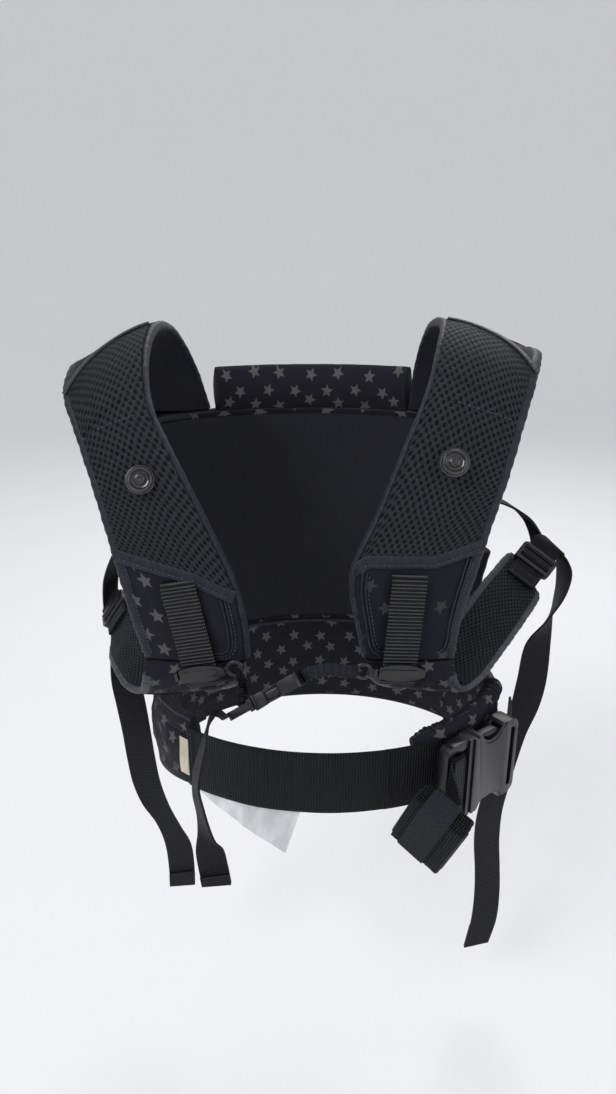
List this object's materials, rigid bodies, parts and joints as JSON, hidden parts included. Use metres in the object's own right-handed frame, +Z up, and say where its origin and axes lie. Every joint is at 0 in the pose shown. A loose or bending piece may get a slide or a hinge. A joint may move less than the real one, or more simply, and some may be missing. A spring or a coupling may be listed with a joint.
{
  "type": "soft carrier harness",
  "caption": "Padded soft carrier harness worn on the torso, with shoulder straps, sliding chest strap, waist belt with side-release buckle and a padded front panel.",
  "frame": {"origin": "midway between the two shoulder straps, at the level where they rest on the wearer's shoulders", "axes": "+Z up, +Y towards the front panel on the wearer's chest, -Y towards the chest strap and buckle at the wearer's back, +X to the wearer's right as worn facing +Y"},
  "size_m": [0.3931, 0.2975, 0.6154],
  "materials": {
    "mesh_padding": "open air mesh over padding, matte near-black",
    "fabric": "woven near-black cotton twill with a small grey star print",
    "lining": "plain woven lining, matte",
    "webbing": "ribbed black polypropylene webbing, slight sheen",
    "plastic": "satin black acetal",
    "elastic": "black covered elastic, matte",
    "stud": "glossy black press stud",
    "label": "white satin ribbon, blank",
    "tag": "beige woven tag, blank"
  },
  "bodies": {
    "harness": {"left_strap_pad": "mesh_padding", "right_strap_pad": "mesh_padding", "left_underarm_pad": "mesh_padding", "right_underarm_pad": "mesh_padding", "body_panel": "fabric", "head_support": "fabric", "left_leg_pad": "fabric", "right_leg_pad": "fabric", "waistband_front": "fabric", "waistband_left": "fabric", "waistband_right": "fabric", "waistband_roll": "fabric", "left_side_anchor": "fabric", "right_side_anchor": "fabric", "panel_lining": "lining", "left_rail": "webbing", "right_rail": "webbing", "belt_webbing": "webbing", "belt_slack": "webbing", "waist_anchor_webbing": "webbing", "left_adjuster_tab": "webbing", "right_adjuster_tab": "webbing", "left_side_webbing": "webbing", "right_side_webbing": "webbing", "waist_buckle_socket": "plastic", "left_press_stud": "stud", "right_press_stud": "stud", "care_label": "label", "size_tag": "tag"},
    "chest_strap": {"left_slider": "plastic", "left_strap_ring": "plastic", "chest_webbing": "webbing", "chest_elastic": "elastic", "chest_buckle_socket": "plastic"},
    "chest_strap_right_end": {"right_slider": "plastic", "right_strap_ring": "plastic"},
    "chest_tongue": {"chest_buckle_tongue": "plastic"},
    "chest_upper_prong": {"chest_prong_upper": "plastic"},
    "chest_lower_prong": {"chest_prong_lower": "plastic"},
    "chest_spare_end": {"chest_tail": "webbing"},
    "waist_tongue": {"waist_buckle_tongue": "plastic", "belt_turn": "webbing"},
    "waist_upper_prong": {"waist_prong_upper": "plastic"},
    "waist_lower_prong": {"waist_prong_lower": "plastic"},
    "belt_spare_end": {"belt_end_bundle": "webbing", "belt_keeper": "elastic"},
    "left_strap_adjuster": {"left_adjuster": "plastic"},
    "right_strap_adjuster": {"right_adjuster": "plastic"},
    "left_spare_end": {"left_tail": "webbing"},
    "right_spare_end": {"right_tail": "webbing"}
  },
  "joints": [
    {"name": "chest_strap_height", "type": "slide", "parent": "harness", "child": "chest_strap", "axis": [-0.1903, 0, 0.9817], "range_m": [0, 0.05]},
    {"name": "chest_strap_right_height", "type": "slide", "parent": "chest_strap", "child": "chest_strap_right_end", "axis": [0.9982, 0, 0.0604], "range_m": [0, 0.0135], "deforming": ["chest_elastic"]},
    {"name": "chest_buckle_slide", "type": "slide", "parent": "chest_strap", "child": "chest_tongue", "axis": [-0.8591, -0.05, -0.5094], "range_m": [0, 0.026], "deforming": ["chest_webbing"]},
    {"name": "chest_upper_prong_flex", "type": "hinge", "parent": "chest_tongue", "child": "chest_upper_prong", "pos_m": [-0.03705, -0.1285, -0.22151], "axis": [-0.4803, 0.4227, 0.7685], "range_deg": [0, 6], "stiffness_Nm_per_rad": 0.05},
    {"name": "chest_lower_prong_flex", "type": "hinge", "parent": "chest_tongue", "child": "chest_lower_prong", "pos_m": [-0.03295, -0.1075, -0.23049], "axis": [0.4803, -0.4227, -0.7685], "range_deg": [0, 6], "stiffness_Nm_per_rad": 0.05},
    {"name": "chest_spare_end_swing", "type": "hinge", "parent": "chest_tongue", "child": "chest_spare_end", "pos_m": [-0.065, -0.152, -0.22], "axis": [1, 0, 0], "range_deg": [-12, 18]},
    {"name": "waist_buckle_slide", "type": "slide", "parent": "harness", "child": "waist_tongue", "axis": [-0.7799, -0.6259, 0], "range_m": [0, 0.036], "deforming": ["belt_slack"]},
    {"name": "waist_upper_prong_flex", "type": "hinge", "parent": "waist_tongue", "child": "waist_upper_prong", "pos_m": [0.117, -0.103, -0.2662], "axis": [-0.6259, 0.7799, 0], "range_deg": [0, 6], "stiffness_Nm_per_rad": 0.1},
    {"name": "waist_lower_prong_flex", "type": "hinge", "parent": "waist_tongue", "child": "waist_lower_prong", "pos_m": [0.117, -0.103, -0.3258], "axis": [0.6259, -0.7799, 0], "range_deg": [0, 6], "stiffness_Nm_per_rad": 0.1},
    {"name": "belt_spare_end_swing", "type": "hinge", "parent": "waist_tongue", "child": "belt_spare_end", "pos_m": [0.1008, -0.1244, -0.296], "axis": [0, 0, 1], "range_deg": [-3, 30]},
    {"name": "left_adjuster_tilt", "type": "hinge", "parent": "harness", "child": "left_strap_adjuster", "pos_m": [-0.16289, 0.0145, -0.22001], "axis": [0.5543, 0.1053, 0.8256], "range_deg": [0, 8]},
    {"name": "right_adjuster_tilt", "type": "hinge", "parent": "harness", "child": "right_strap_adjuster", "pos_m": [0.18017, -0.00052, -0.17164], "axis": [0.765, -0.4011, -0.5039], "range_deg": [0, 15]},
    {"name": "left_spare_end_swing", "type": "hinge", "parent": "left_strap_adjuster", "child": "left_spare_end", "pos_m": [-0.16657, 0.03253, -0.21984], "axis": [1, 0, 0], "range_deg": [-6, 6]},
    {"name": "right_spare_end_swing", "type": "hinge", "parent": "right_strap_adjuster", "child": "right_spare_end", "pos_m": [0.19193, 0.01029, -0.1624], "axis": [1, 0, 0], "range_deg": [-8, 8]}
  ],
  "couplings": [
    {"joint": "chest_strap_right_height", "follows": "chest_strap_height", "ratio": 0.2613},
    {"joint": "chest_lower_prong_flex", "follows": "chest_upper_prong_flex", "ratio": 1},
    {"joint": "waist_lower_prong_flex", "follows": "waist_upper_prong_flex", "ratio": 1}
  ]
}
